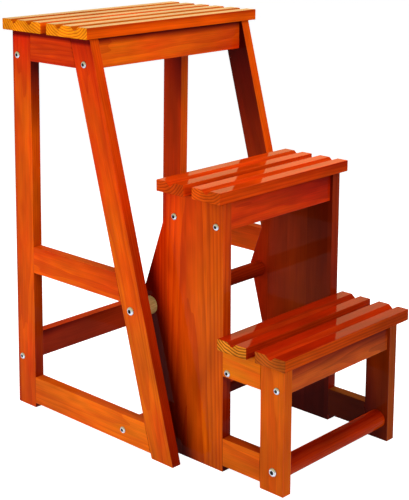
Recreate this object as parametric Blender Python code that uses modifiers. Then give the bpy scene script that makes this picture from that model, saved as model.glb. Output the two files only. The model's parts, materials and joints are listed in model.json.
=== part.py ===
"""Library step chair: a wooden stool whose two lower steps swing out in front of it.

The steps are one unit between two side panels. It turns on a pivot low in the front legs, up and
over, until the steps stand upside down inside the stool. Metres, +Z up, the steps face -Y, and the
origin is on the floor below the pivot.

Places in the side view are pairs (forward, up): forward of the pivot, and above the floor.
"""
from math import cos, hypot, radians, sin, tan

import bmesh
import bpy
from mathutils import Matrix, Vector

# Stock and clearances
BOARD = 0.018               # thickness of every board, leg and rail
LEG_WIDTH = 0.045
RAIL_WIDTH = 0.045
GAP = 0.0003                # between pieces that touch
EASE = 0.0012               # rounding of the long edges
OVERRUN = 0.002             # how far a cutter reaches past the wood

# Stool
SEAT_HEIGHT = 0.660
FRAME_WIDTH = 0.362         # over the two side frames
OVERHANG = 0.011            # of the seat past the stool's sides
REAR_LEG_LEAN = radians(1.2)
FRONT_LEG_INSET = 0.0066    # front leg's top, in from the seat's front edge
PIVOT_SETBACK = 0.0272      # pivot behind the front leg's front edge, measured level
TOP_RAIL_WIDTH = 0.0475
MID_RAIL_HEIGHT = 0.2400    # underside
BOTTOM_RAIL_HEIGHT = 0.008  # underside
BOTTOM_RAIL_WIDTH = 0.047
REAR_RAIL_HEIGHT = 0.078    # underside of the rail between the rear legs
REAR_INSET = 0.003          # rear apron and rear rail, in from the leg's rear edge
STOP_BAR_SIZE = 0.019
STOP_BAR_HEIGHT = 0.0285    # centre

# Boards of the seat and treads
SEAT_BOARD_WIDTH = 0.0955
SEAT_BOARD_GAP = 0.0135
SEAT_RIBS = 3
SEAT_APRON_SETBACK = 0.0115
TREAD_BOARD_WIDTH = 0.057
TREAD_BOARD_GAP = 0.0165
TREAD_RIBS = 2
TREAD_OVERHANG = 0.013      # of the treads past the panels
GROOVE_OPENING = 0.017
GROOVE_FLOOR = 0.003
GROOVE_DEPTH = 0.006

# Folding steps
PIVOT_HEIGHT = 0.2305
FOLD_ANGLE = radians(179)
STOP_GAP = 0.001            # left between the folded tread and the stop bar
SIDE_GAP = 0.025            # between the stool's side frame and the step unit's panel
MID_TREAD_HEIGHT = 0.438
LOW_TREAD_HEIGHT = 0.2175
PANEL_FRONT = 0.1525
PANEL_TOP_DEPTH = 0.1215
PANEL_SHOULDER_DROP = 0.0405
PANEL_APEX_RISE = 0.0061    # of the panel's rearmost corner, above the pivot
MID_TREAD_LIP = 0.0055      # past the panel's front edge
LOW_REACH = 0.1190          # from the panel's front edge to the front of the low legs
LOW_RAIL_HEIGHT = 0.010     # underside of the lower rail
APRON_WIDTH = 0.045
APRON_INSET = 0.005         # behind the edge in front of it
MID_REAR_APRON_INSET = 0.0125

# Dowels, pegs, screws and bolts
PIVOT_DOWEL_DIAMETER = 0.026
LOW_DOWEL_DIAMETER = 0.030
LOW_DOWEL_HEIGHT = 0.034
LOW_DOWEL_SETBACK = 0.0193  # centre behind the low leg's front edge
SPACER_DIAMETER = 0.029
SLEEVE_DIAMETER = 0.012
INSERT_LENGTH = 0.022
INSERT_DIAMETER = 0.014
BOLT_SHANK = 0.008
BOLT_HEAD = 0.0135
BOLT_HEAD_HEIGHT = 0.0028
BOLT_SOCKET = 0.0058
SCREW_SHANK = 0.005
SCREW_GRIP = 0.032          # length of screw in the cross member
SCREW_HEAD = 0.0108
SCREW_HEAD_HEIGHT = 0.0022
SCREW_SOCKET = 0.0045
SCREW_RISE = 0.0075         # above the lower edge of the cross member
SOCKET_DEPTH = 0.0015
DOME_SHARES = ((0, 1), (0.5, 1), (0.8, 0.7), (1, 0.3), (1, 0))     # of a head's radius and height
PEG_DIAMETER = 0.008        # glued pegs are modelled with the piece that they are glued into
PEG_REACH = 0.015
PEG_ROOT = 0.005
BOARD_PEG_REACH = 0.009
PEG_RISE = 0.018            # of a cross member's peg above its screw
RAIL_PEG_SHARES = (0.25, 0.62)
BOARD_PEG_SHARES = (0.25, 0.65)
ROUND_SIDES = 24
BOLT_SIDES = 12
PEG_SIDES = 8
SOCKET_SIDES = 6
SMOOTH_ANGLE = radians(35)

# Stained wood, bare wood and metal: colour, roughness, metallic
FINISHES = {
    "stained_side": ((0.62, 0.13, 0.02, 1.0), 0.28, 0.0),
    "stained_tread": ((0.66, 0.16, 0.03, 1.0), 0.22, 0.0),
    "stained_cross": ((0.45, 0.06, 0.015, 1.0), 0.30, 0.0),
    "bare_wood": ((0.55, 0.38, 0.20, 1.0), 0.60, 0.0),
    "zinc_steel": ((0.78, 0.78, 0.78, 1.0), 0.30, 1.0),
    "brass": ((0.72, 0.55, 0.25, 1.0), 0.35, 1.0),
}

# Lengths and heights that follow
SCREW_LENGTH = BOARD + SCREW_GRIP
LEG_TOP = SEAT_HEIGHT - BOARD - GAP
MID_TOP = MID_TREAD_HEIGHT - BOARD - GAP
LOW_TOP = LOW_TREAD_HEIGHT - BOARD - GAP

# Places across the chair, from its middle
SIDES = (("left", -1), ("right", 1))
FRAME_IN = FRAME_WIDTH / 2 - BOARD
FRAME_MID = FRAME_WIDTH / 2 - BOARD / 2
PANEL_OUT = FRAME_IN - SIDE_GAP
PANEL_IN = PANEL_OUT - BOARD
PANEL_MID = PANEL_OUT - BOARD / 2

# Places forward of the pivot
TREAD_DEPTH = TREAD_RIBS * TREAD_BOARD_WIDTH + TREAD_BOARD_GAP
SEAT_DEPTH = 2 * SEAT_BOARD_WIDTH + SEAT_BOARD_GAP
MID_TREAD_FRONT = PANEL_FRONT + MID_TREAD_LIP
MID_TREAD_BACK = MID_TREAD_FRONT - TREAD_DEPTH
LOW_TREAD_BACK = PANEL_FRONT + GAP
LOW_TREAD_FRONT = LOW_TREAD_BACK + TREAD_DEPTH
LOW_LEG_FRONT = PANEL_FRONT + LOW_REACH
LOW_LEG_BACK = LOW_LEG_FRONT - LEG_WIDTH
PANEL_BACK = PANEL_FRONT - PANEL_TOP_DEPTH
REAR_FOOT_BACK = -LOW_TREAD_FRONT   # the folded steps end in line with the rear feet


def rear_leg_back(up):
    """Forward place of the rear leg's rear edge at a height."""
    return REAR_FOOT_BACK + up * tan(REAR_LEG_LEAN)


def rear_leg_front(up):
    return rear_leg_back(up) + LEG_WIDTH / cos(REAR_LEG_LEAN)


SEAT_BACK = rear_leg_back(LEG_TOP) - OVERHANG
SEAT_FRONT = SEAT_BACK + SEAT_DEPTH

# The front leg leans back from beside the pivot to the seat's front edge
FRONT_LEG_SLOPE = (PIVOT_SETBACK + FRONT_LEG_INSET - SEAT_FRONT) / (LEG_TOP - PIVOT_HEIGHT)


def front_leg_front(up):
    """Forward place of the front leg's front edge at a height."""
    return PIVOT_SETBACK - (up - PIVOT_HEIGHT) * FRONT_LEG_SLOPE


def front_leg_back(up):
    return front_leg_front(up) - LEG_WIDTH * hypot(1, FRONT_LEG_SLOPE)


def folded_forward(forward, up):
    """Forward place that a point of the steps has once they are folded."""
    return forward * cos(FOLD_ANGLE) - (up - PIVOT_HEIGHT) * sin(FOLD_ANGLE)


STOP_BAR_BACK = folded_forward(MID_TREAD_BACK, MID_TREAD_HEIGHT) + STOP_GAP

# A side outline's own axes: x forward, y up, and z across the chair
SIDE_VIEW = Matrix(((0, 0, -1), (-1, 0, 0), (0, 1, 0))).to_4x4()


def start():
    """Empty the scene and make the collections, the two bodies' parents and the materials."""
    for old in list(bpy.data.objects):
        bpy.data.objects.remove(old, do_unlink=True)
    chair = bpy.data.collections.new("library_step_chair")
    cutters = bpy.data.collections.new("cutters")
    for collection in (chair, cutters):
        bpy.context.scene.collection.children.link(collection)
    stool = bpy.data.objects.new("stool", None)
    steps = bpy.data.objects.new("steps", None)
    steps.location.z = PIVOT_HEIGHT
    for parent in (stool, steps):
        chair.objects.link(parent)
    bpy.context.view_layer.update()
    finishes = {name: finish(name, *values) for name, values in FINISHES.items()}
    return chair, cutters, {"stool": stool, "steps": steps}, finishes


def finish(name, colour, roughness, metallic):
    material = bpy.data.materials.new(name)
    material.use_nodes = True
    shader = material.node_tree.nodes["Principled BSDF"]
    shader.inputs["Base Color"].default_value = colour
    shader.inputs["Roughness"].default_value = roughness
    shader.inputs["Metallic"].default_value = metallic
    material.diffuse_color = colour
    return material


CHAIR, CUTTERS, PARENTS, MATERIALS = start()


def place(name, mesh, matrix, body, material):
    """Add a piece to the chair under its body's parent, without moving it."""
    piece = bpy.data.objects.new(name, mesh)
    CHAIR.objects.link(piece)
    piece.parent = PARENTS[body]
    piece.matrix_parent_inverse = PARENTS[body].matrix_world.inverted()
    piece.matrix_world = matrix
    mesh.materials.clear()
    mesh.materials.append(MATERIALS[material])
    return piece


def world(forward, up, across=0.0):
    return Vector((across, -forward, up))


def outline_mesh(name, outline, width):
    """Extrude a closed side outline across the chair and return it as a mesh."""
    curve = bpy.data.curves.new(name, "CURVE")
    curve.dimensions = "2D"
    curve.fill_mode = "BOTH"
    curve.extrude = width / 2
    spline = curve.splines.new("POLY")
    spline.points.add(len(outline) - 1)
    for point, (forward, up) in zip(spline.points, outline):
        point.co = (forward, up, 0, 1)
    spline.use_cyclic_u = True
    drawn = bpy.data.objects.new(name, curve)
    bpy.context.scene.collection.objects.link(drawn)
    evaluated = drawn.evaluated_get(bpy.context.evaluated_depsgraph_get())
    mesh = bpy.data.meshes.new_from_object(evaluated)
    bpy.data.objects.remove(drawn, do_unlink=True)
    welded = bmesh.new()
    welded.from_mesh(mesh)
    bmesh.ops.remove_doubles(welded, verts=welded.verts, dist=GAP / 10)
    bmesh.ops.dissolve_limit(welded, angle_limit=radians(1), verts=welded.verts, edges=welded.edges)
    bmesh.ops.recalc_face_normals(welded, faces=welded.faces)
    welded.to_mesh(mesh)
    welded.free()
    return mesh


def ease_edges(piece, is_free):
    """Round the edges for which is_free(start, end), in the mesh's own places, says so."""
    mesh = piece.data
    weights = mesh.attributes.new("bevel_weight_edge", "FLOAT", "EDGE")
    for edge, weight in zip(mesh.edges, weights.data):
        start, end = (mesh.vertices[index].co for index in edge.vertices)
        weight.value = float(is_free(start, end))
    rounding = piece.modifiers.new("eased edges", "BEVEL")
    rounding.width = EASE
    rounding.segments = 2
    rounding.limit_method = "WEIGHT"


def side_piece(name, outline, across, body, is_free):
    """A board cut to a side outline; is_free says which edges of its two faces are eased."""
    mesh = outline_mesh(name, outline, BOARD)
    matrix = Matrix.Translation(world(0, 0, across)) @ SIDE_VIEW
    piece = place(name, mesh, matrix, body, "stained_side")
    ease_edges(piece, lambda start, end: abs(start.z - end.z) < GAP and is_free(start, end))


def cross_piece(name, back, low, depth, height, span, body):
    """A straight member between two side pieces: a box with its long edges eased."""
    bpy.ops.mesh.primitive_cube_add(size=1)
    cube = bpy.context.object
    mesh = cube.data
    bpy.data.objects.remove(cube, do_unlink=True)
    mesh.name = name
    mesh.transform(Matrix.Diagonal((span, depth, height, 1)))
    centre = world(back + depth / 2, low + height / 2)
    piece = place(name, mesh, Matrix.Translation(centre), body, "stained_cross")
    ease_edges(piece, lambda start, end: abs(start.x - end.x) > GAP)


def turned_mesh(name, profile, sides=ROUND_SIDES, closed=False):
    """Turn a profile of (radius, height) pairs about +Z; its outer side runs top to bottom."""
    mesh = bpy.data.meshes.new(name)
    points = [(radius, 0, height) for radius, height in profile]
    edges = [(at - 1, at) for at in range(1, len(points))]
    if closed:
        edges.append((len(points) - 1, 0))
    mesh.from_pydata(points, edges, [])
    turned = bpy.data.objects.new(name, mesh)
    bpy.context.scene.collection.objects.link(turned)
    lathe = turned.modifiers.new("lathe", "SCREW")
    lathe.steps = sides
    lathe.render_steps = sides
    lathe.use_merge_vertices = True
    lathe.merge_threshold = GAP / 10
    evaluated = turned.evaluated_get(bpy.context.evaluated_depsgraph_get())
    result = bpy.data.meshes.new_from_object(evaluated)
    bpy.data.objects.remove(turned, do_unlink=True)
    return result


def cylinder_mesh(name, diameter, length, sides=ROUND_SIDES):
    """A capped cylinder along +Z from the origin."""
    mesh = bpy.data.meshes.new(name)
    drawn = bmesh.new()
    bmesh.ops.create_cone(drawn, cap_ends=True, segments=sides, radius1=diameter / 2,
                          radius2=diameter / 2, depth=length,
                          matrix=Matrix.Translation((0, 0, length / 2)))
    drawn.to_mesh(mesh)
    drawn.free()
    return mesh


def joined_mesh(name, copies):
    """One mesh of separate solids from (mesh, matrix) pairs, for a cutter or a set of pegs."""
    gathered = bmesh.new()
    for mesh, matrix in copies:
        first = len(gathered.verts)
        gathered.from_mesh(mesh)
        gathered.verts.ensure_lookup_table()
        bmesh.ops.transform(gathered, matrix=matrix, verts=gathered.verts[first:])
    result = bpy.data.meshes.new(name)
    gathered.to_mesh(result)
    gathered.free()
    return result


def smooth(mesh):
    mesh.shade_smooth()
    mesh.set_sharp_from_angle(angle=SMOOTH_ANGLE)
    return mesh


def aimed(start, direction):
    """Matrix that puts a +Z solid at a start point along a world direction."""
    return Matrix.Translation(start) @ Vector(direction).to_track_quat("Z", "Y").to_matrix().to_4x4()


# What each piece gets by name: bores taken out of it, and glued pegs standing out of it
BORES = {}
PEGS = {}


def bore(host, start, direction, length, diameter, sides=PEG_SIDES):
    mesh = cylinder_mesh("bore", diameter + 2 * GAP, length, sides)
    BORES.setdefault(host, []).append((mesh, aimed(start, direction)))


def peg(owner, host, face, direction, reach=PEG_REACH):
    """A peg that stands out of its owner's face into a bore in its host."""
    along = Vector(direction)
    mesh = cylinder_mesh("peg", PEG_DIAMETER, PEG_ROOT + reach, PEG_SIDES)
    PEGS.setdefault(owner, []).append((mesh, aimed(face - along * PEG_ROOT, direction)))
    bore(host, face - along * OVERRUN, direction, OVERRUN + reach + GAP, PEG_DIAMETER)


def cut_and_peg():
    """Give every piece its bores and its pegs."""
    for piece in CHAIR.objects:
        for operation, made in (("DIFFERENCE", BORES), ("UNION", PEGS)):
            if piece.name not in made:
                continue
            mesh = joined_mesh(piece.name, made[piece.name])
            cutter = bpy.data.objects.new(f"{piece.name}_{operation.lower()}", mesh)
            CUTTERS.objects.link(cutter)
            cutter.hide_render = True
            cutter.display_type = "WIRE"
            boolean = piece.modifiers.new(operation.lower(), "BOOLEAN")
            boolean.operation = operation
            boolean.solver = "EXACT"
            boolean.object = cutter


def headed_mesh(name, shank, length, head, head_height, socket):
    """A screw or bolt along +Z: its head's underside is at the origin, its socket faces -Z."""
    dome = [(out * head / 2, -down * head_height) for out, down in reversed(DOME_SHARES)]
    profile = [(0, length), (shank / 2, length), (shank / 2, 0)] + dome
    turned = bpy.data.objects.new(name, turned_mesh(name, profile, BOLT_SIDES))
    cutter_mesh = cylinder_mesh("socket", socket, SOCKET_DEPTH + OVERRUN, SOCKET_SIDES)
    cutter_mesh.transform(Matrix.Translation((0, 0, -head_height - OVERRUN)))
    cutter = bpy.data.objects.new("socket", cutter_mesh)
    for drawn in (turned, cutter):
        bpy.context.scene.collection.objects.link(drawn)
    boolean = turned.modifiers.new("socket", "BOOLEAN")
    boolean.solver = "EXACT"
    boolean.object = cutter
    evaluated = turned.evaluated_get(bpy.context.evaluated_depsgraph_get())
    result = bpy.data.meshes.new_from_object(evaluated)
    for drawn in (turned, cutter):
        bpy.data.objects.remove(drawn, do_unlink=True)
    return smooth(result)


def ring_mesh(name, outer, inner, length, sides=ROUND_SIDES):
    """A plain ring along +Z."""
    profile = [(inner / 2, length), (outer / 2, length), (outer / 2, 0), (inner / 2, 0)]
    return smooth(turned_mesh(name, profile, sides, closed=True))


def screw_ends(member, body, hosts, forward, up, outside):
    """A screw through each side piece into the end of a cross member."""
    screw = headed_mesh("screw", SCREW_SHANK, SCREW_LENGTH, SCREW_HEAD, SCREW_HEAD_HEIGHT, SCREW_SOCKET)
    for label, side in SIDES:
        head = world(forward, up, side * (outside + GAP))
        inward = (-side, 0, 0)
        place(f"screw_{member}_{label}", screw, aimed(head, inward), body, "zinc_steel")
        for host in (f"{hosts}_{label}", member):
            bore(host, head + Vector(inward) * -GAP, inward, SCREW_LENGTH + 3 * GAP, SCREW_SHANK)


def peg_ends(member, hosts, forward, up, inside):
    """A glued peg from each end of a cross member into the side piece."""
    for label, side in SIDES:
        peg(member, f"{hosts}_{label}", world(forward, up, side * (inside - GAP)), (side, 0, 0))


def grooved_outline(back, top, width, ribs):
    """Outline of a board whose top is cut into ribs by sloping-sided grooves."""
    rib = (width - (ribs - 1) * GROOVE_OPENING) / ribs
    slope = (GROOVE_OPENING - GROOVE_FLOOR) / 2
    points = [(back, top - BOARD), (back + width, top - BOARD), (back + width, top)]
    for index in reversed(range(1, ribs)):
        start = back + index * (rib + GROOVE_OPENING) - GROOVE_OPENING
        points += [(start + GROOVE_OPENING, top), (start + GROOVE_OPENING - slope, top - GROOVE_DEPTH),
                   (start + slope, top - GROOVE_DEPTH), (start, top)]
    return points + [(back, top)]


def grooved_board(name, back, top, width, ribs, half_length, body):
    """One board of the seat or of a step."""
    outline = grooved_outline(back, top, width, ribs)
    mesh = outline_mesh(name, outline, 2 * half_length)
    piece = place(name, mesh, SIDE_VIEW.copy(), body, "stained_tread")
    rounding = piece.modifiers.new("eased edges", "BEVEL")
    rounding.width = EASE
    rounding.segments = 1
    rounding.limit_method = "ANGLE"
    rounding.angle_limit = SMOOTH_ANGLE


def boards(prefix, back, top, width, gap, ribs, half_length, body, across, hosts):
    """Two grooved boards side by side; hosts name the side pieces whose pegs hold them."""
    for label, start in (("rear", back), ("front", back + width + gap)):
        name = f"{prefix}_board_{label}"
        grooved_board(name, start, top, width, ribs, half_length, body)
        for share in BOARD_PEG_SHARES:
            host = hosts.pop(0)
            for tag, side in SIDES:
                face = world(start + share * width, top - BOARD - GAP, side * across)
                peg(f"{host}_{tag}", name, face, (0, 0, 1), BOARD_PEG_REACH + GAP)


def quad(back, front, low, high):
    """Outline between two leaning edges, each given as a function of height."""
    return [(back(low), low), (front(low), low), (front(high), high), (back(high), high)]


def level(start, end):
    """Whether an edge of a side outline is level."""
    return abs(start.y - end.y) < GAP


def rail_pegs(rail, label, low, width, across, ends):
    """Two pegs from each end of a side rail; ends pairs a host with its edge and a direction."""
    for host, edge, ahead in ends:
        for share in RAIL_PEG_SHARES:
            up = low + share * width
            face = world(edge(up) - ahead * GAP, up, across)
            peg(f"{rail}_{label}", f"{host}_{label}", face, (0, -ahead, 0))


def stool_side(label, side):
    """One side frame of the stool: two legs and three rails, pegged together."""
    across = side * FRAME_MID
    side_piece(f"rear_leg_{label}", quad(rear_leg_back, rear_leg_front, 0, LEG_TOP), across, "stool",
               lambda a, b: not level(a, b) and a.x < rear_leg_front(a.y) - GAP)
    side_piece(f"front_leg_{label}", quad(front_leg_back, front_leg_front, 0, LEG_TOP), across, "stool",
               lambda a, b: not level(a, b) and a.x > front_leg_back(a.y) + GAP)

    def back(up):
        return rear_leg_front(up) + GAP

    def ahead(up):
        return front_leg_back(up) - GAP

    rails = (("top_rail", LEG_TOP - TOP_RAIL_WIDTH, TOP_RAIL_WIDTH),
             ("mid_rail", MID_RAIL_HEIGHT, RAIL_WIDTH),
             ("bottom_rail", BOTTOM_RAIL_HEIGHT, BOTTOM_RAIL_WIDTH))
    for kind, low, width in rails:
        side_piece(f"{kind}_{label}", quad(back, ahead, low, low + width), across, "stool",
                   lambda a, b: level(a, b) and a.y < LEG_TOP - GAP)
        rail_pegs(kind, label, low, width, across,
                  (("rear_leg", rear_leg_front, -1), ("front_leg", front_leg_back, 1)))


def stool():
    """The standing part: side frames, aprons, rear rail, stop bar and seat boards."""
    for label, side in SIDES:
        stool_side(label, side)
    span = 2 * (FRAME_IN - GAP)
    apron_low = LEG_TOP - TOP_RAIL_WIDTH
    front_apron_back = SEAT_FRONT - SEAT_APRON_SETBACK - BOARD
    rear_apron_back = rear_leg_back(LEG_TOP) + REAR_INSET
    rear_rail_back = rear_leg_back(REAR_RAIL_HEIGHT + RAIL_WIDTH) + REAR_INSET
    crossings = (("seat_apron_front", "front_leg", front_apron_back, apron_low, TOP_RAIL_WIDTH),
                 ("seat_apron_rear", "rear_leg", rear_apron_back, apron_low, TOP_RAIL_WIDTH),
                 ("rear_rail", "rear_leg", rear_rail_back, REAR_RAIL_HEIGHT, RAIL_WIDTH))
    for name, hosts, start, low, height in crossings:
        cross_piece(name, start, low, BOARD, height, span, "stool")
        screw_ends(name, "stool", hosts, start + BOARD / 2, low + SCREW_RISE, FRAME_WIDTH / 2)
        peg_ends(name, hosts, start + BOARD / 2, low + SCREW_RISE + PEG_RISE, FRAME_IN)
    bar_low = STOP_BAR_HEIGHT - STOP_BAR_SIZE / 2
    cross_piece("stop_bar", STOP_BAR_BACK, bar_low, BOARD, STOP_BAR_SIZE, span, "stool")
    screw_ends("stop_bar", "stool", "bottom_rail", STOP_BAR_BACK + BOARD / 2, STOP_BAR_HEIGHT,
               FRAME_WIDTH / 2)
    boards("seat", SEAT_BACK, SEAT_HEIGHT, SEAT_BOARD_WIDTH, SEAT_BOARD_GAP, SEAT_RIBS,
           FRAME_WIDTH / 2 + OVERHANG, "stool", FRAME_MID,
           ["rear_leg", "top_rail", "top_rail", "front_leg"])


def panel_outline():
    """The step unit's side: upright in front, and behind in line with the front leg's rear edge."""
    shoulder = MID_TOP - PANEL_SHOULDER_DROP
    apex = PIVOT_HEIGHT + PANEL_APEX_RISE
    return [(front_leg_back(0), 0), (PANEL_FRONT, 0), (PANEL_FRONT, MID_TOP), (PANEL_BACK, MID_TOP),
            (PANEL_BACK, shoulder), (front_leg_back(apex), apex)]


def steps_side(label, side):
    """One side of the step unit: the panel, and the low step's leg and rails in line with it."""
    across = side * PANEL_MID
    side_piece(f"panel_{label}", panel_outline(), across, "steps",
               lambda a, b: not level(a, b) and max(a.x, b.x) < PANEL_FRONT - GAP)
    leg = [(LOW_LEG_BACK, 0), (LOW_LEG_FRONT, 0), (LOW_LEG_FRONT, LOW_TOP), (LOW_LEG_BACK, LOW_TOP)]
    side_piece(f"low_leg_{label}", leg, across, "steps",
               lambda a, b: not level(a, b) and a.x > LOW_LEG_BACK + GAP)
    back = PANEL_FRONT + GAP
    front = LOW_LEG_BACK - GAP
    for kind, low in (("low_top_rail", LOW_TOP - RAIL_WIDTH), ("low_bottom_rail", LOW_RAIL_HEIGHT)):
        high = low + RAIL_WIDTH
        outline = [(back, low), (front, low), (front, high), (back, high)]
        side_piece(f"{kind}_{label}", outline, across, "steps",
                   lambda a, b: level(a, b) and a.y < LOW_TOP - GAP)
        rail_pegs(kind, label, low, RAIL_WIDTH, across,
                  (("panel", lambda up: PANEL_FRONT, -1), ("low_leg", lambda up: LOW_LEG_BACK, 1)))


def rod(name, diameter, forward, up, span, body):
    """A dowel across the chair, from side to side."""
    mesh = smooth(cylinder_mesh(name, diameter, span))
    place(name, mesh, aimed(world(forward, up, -span / 2), (1, 0, 0)), body, "stained_cross")


def bolt_ends(member, body, hosts, forward, up, outside, dowel_end, socket_diameter):
    """A bolt through each side piece into the end of a dowel."""
    length = outside - dowel_end + INSERT_LENGTH
    bolt = headed_mesh("bolt", BOLT_SHANK, length, BOLT_HEAD, BOLT_HEAD_HEIGHT, BOLT_SOCKET)
    for label, side in SIDES:
        inward = (-side, 0, 0)
        head = world(forward, up, side * (outside + GAP))
        place(f"bolt_{member}_{label}", bolt, aimed(head, inward), body, "zinc_steel")
        bore(f"{hosts}_{label}", world(forward, up, side * (outside + OVERRUN)), inward,
             BOARD + 2 * OVERRUN, BOLT_SHANK, BOLT_SIDES)
        bore(member, world(forward, up, side * (dowel_end + OVERRUN)), inward,
             OVERRUN + INSERT_LENGTH + 2 * GAP, socket_diameter, BOLT_SIDES)


def steps():
    """The folding unit: panels, low step frames, aprons, treads and the low dowel."""
    for label, side in SIDES:
        steps_side(label, side)
    span = 2 * (PANEL_IN - GAP)
    crossings = (("mid_apron_front", "panel", PANEL_FRONT - APRON_INSET - BOARD, MID_TOP),
                 ("mid_apron_rear", "panel", PANEL_BACK + MID_REAR_APRON_INSET, MID_TOP),
                 ("low_apron_front", "low_leg", LOW_LEG_FRONT - APRON_INSET - BOARD, LOW_TOP),
                 ("low_apron_rear", "low_top_rail", PANEL_FRONT + GAP, LOW_TOP))
    for name, hosts, start, top in crossings:
        low = top - APRON_WIDTH
        cross_piece(name, start, low, BOARD, APRON_WIDTH, span, "steps")
        screw_ends(name, "steps", hosts, start + BOARD / 2, low + SCREW_RISE, PANEL_OUT)
        peg_ends(name, hosts, start + BOARD / 2, low + SCREW_RISE + PEG_RISE, PANEL_IN)
    for prefix, back, top, hosts in (
            ("mid", MID_TREAD_BACK, MID_TREAD_HEIGHT, ["panel"] * 4),
            ("low", LOW_TREAD_BACK, LOW_TREAD_HEIGHT, ["low_top_rail"] * 2 + ["low_leg"] * 2)):
        boards(prefix, back, top, TREAD_BOARD_WIDTH, TREAD_BOARD_GAP, TREAD_RIBS,
               PANEL_OUT + TREAD_OVERHANG, "steps", PANEL_MID, hosts)
    forward = LOW_LEG_FRONT - LOW_DOWEL_SETBACK
    rod("low_dowel", LOW_DOWEL_DIAMETER, forward, LOW_DOWEL_HEIGHT, span, "steps")
    bolt_ends("low_dowel", "steps", "low_leg", forward, LOW_DOWEL_HEIGHT, PANEL_OUT, PANEL_IN,
              BOLT_SHANK)


def pivot():
    """The pivot dowel, held by a bolt through each leg, a wooden spacer and a steel sleeve.

    The dowel, spacers and sleeves stay with the stool, and the panels turn on the sleeves.
    """
    rod("pivot_dowel", PIVOT_DOWEL_DIAMETER, 0, PIVOT_HEIGHT, 2 * (PANEL_IN - GAP), "stool")
    bolt_ends("pivot_dowel", "stool", "front_leg", 0, PIVOT_HEIGHT, FRAME_WIDTH / 2, PANEL_IN,
              INSERT_DIAMETER)
    inside = BOLT_SHANK + 2 * GAP
    spacer = ring_mesh("spacer", SPACER_DIAMETER, inside, SIDE_GAP - 2 * GAP)
    sleeve = ring_mesh("sleeve", SLEEVE_DIAMETER, inside, BOARD)
    insert = ring_mesh("insert", INSERT_DIAMETER, inside, INSERT_LENGTH, BOLT_SIDES)
    for label, side in SIDES:
        inward = (-side, 0, 0)
        for name, mesh, across, material in (("spacer", spacer, FRAME_IN - GAP, "bare_wood"),
                                             ("sleeve", sleeve, PANEL_OUT, "zinc_steel"),
                                             ("insert", insert, PANEL_IN - 2 * GAP, "brass")):
            start = world(0, PIVOT_HEIGHT, side * across)
            place(f"pivot_{name}_{label}", mesh, aimed(start, inward), "stool", material)
        bore(f"panel_{label}", world(0, PIVOT_HEIGHT, side * (PANEL_OUT + OVERRUN)), inward,
             BOARD + 2 * OVERRUN, SLEEVE_DIAMETER, ROUND_SIDES)


stool()
steps()
pivot()
cut_and_peg()
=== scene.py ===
"""The look of the library step chair: stained and varnished pine, with zinc-plated screws.

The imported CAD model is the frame. Metres, +Z up, the steps face -Y.
"""

import json
from collections import namedtuple
from math import radians
from random import Random

import bmesh
import bpy
from mathutils import Matrix, Vector

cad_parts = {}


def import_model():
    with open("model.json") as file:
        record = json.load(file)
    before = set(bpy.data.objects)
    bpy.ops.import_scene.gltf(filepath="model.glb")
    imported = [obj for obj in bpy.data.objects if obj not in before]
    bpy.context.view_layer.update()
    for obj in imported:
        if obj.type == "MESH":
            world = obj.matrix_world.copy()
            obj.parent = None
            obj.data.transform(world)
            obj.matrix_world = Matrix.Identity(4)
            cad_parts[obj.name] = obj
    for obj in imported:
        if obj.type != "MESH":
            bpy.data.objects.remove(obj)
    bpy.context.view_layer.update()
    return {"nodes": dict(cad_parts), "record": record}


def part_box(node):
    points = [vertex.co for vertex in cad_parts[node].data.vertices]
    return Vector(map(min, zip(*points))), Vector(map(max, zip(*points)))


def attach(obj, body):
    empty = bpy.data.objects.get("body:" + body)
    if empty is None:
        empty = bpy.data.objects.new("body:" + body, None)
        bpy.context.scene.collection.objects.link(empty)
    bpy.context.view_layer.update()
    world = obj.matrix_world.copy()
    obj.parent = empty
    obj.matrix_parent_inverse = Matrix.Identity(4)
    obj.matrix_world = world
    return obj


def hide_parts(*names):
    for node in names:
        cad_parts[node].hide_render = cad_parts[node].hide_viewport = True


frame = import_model()

MM = 0.001

# The body that each node of the CAD model moves with
OWNER = {member: body for body, members in frame["record"]["behaviour"]["bodies"].items()
         for member in members}

# The camera of the photograph: 409 x 500 pixels
EYE = (-1.4339, -1.3413, 0.8817)
LOOKS_AT = (0.1277, 0.1363, 0.4143)
LENS = 90.57
SENSOR = 36.0
SHIFT_UP = -0.2

# Which way the grain of each wooden piece runs, and which way its wide face looks
ALONG = Vector((1, 0, 0))
DEEP = Vector((0, 1, 0))
UP = Vector((0, 0, 1))
REAR_LEG = Vector((0, -0.0209, 1)).normalized()
FRONT_LEG = Vector((0, 0.2679, 1)).normalized()


def linear(code):
    """An sRGB hex colour as linear light, with alpha."""
    shares = [int(code[at:at + 2], 16) / 255 for at in (1, 3, 5)]
    return [share / 12.92 if share <= 0.04045 else ((share + 0.055) / 1.055) ** 2.4
            for share in shares] + [1.0]


def add(tree, kind, inputs=None, output=0, **settings):
    """Add a node with its settings, and return one of its outputs, or the node for None.

    An input is a value, or the socket that feeds it. Settings come first, because a name then
    finds the socket that they bring out.
    """
    node = tree.nodes.new(kind)
    for name, value in settings.items():
        setattr(node, name, value)
    for name, value in (inputs or {}).items():
        if isinstance(value, bpy.types.NodeSocket):
            tree.links.new(value, node.inputs[name])
        else:
            node.inputs[name].default_value = value
    return node if output is None or not node.outputs else node.outputs[output]


def new_material(name):
    material = bpy.data.materials.new(name)
    material.use_nodes = True
    material.node_tree.nodes.clear()
    return material, material.node_tree


def new_object(name, data):
    made = bpy.data.objects.new(name, data)
    bpy.context.scene.collection.objects.link(made)
    return made


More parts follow.
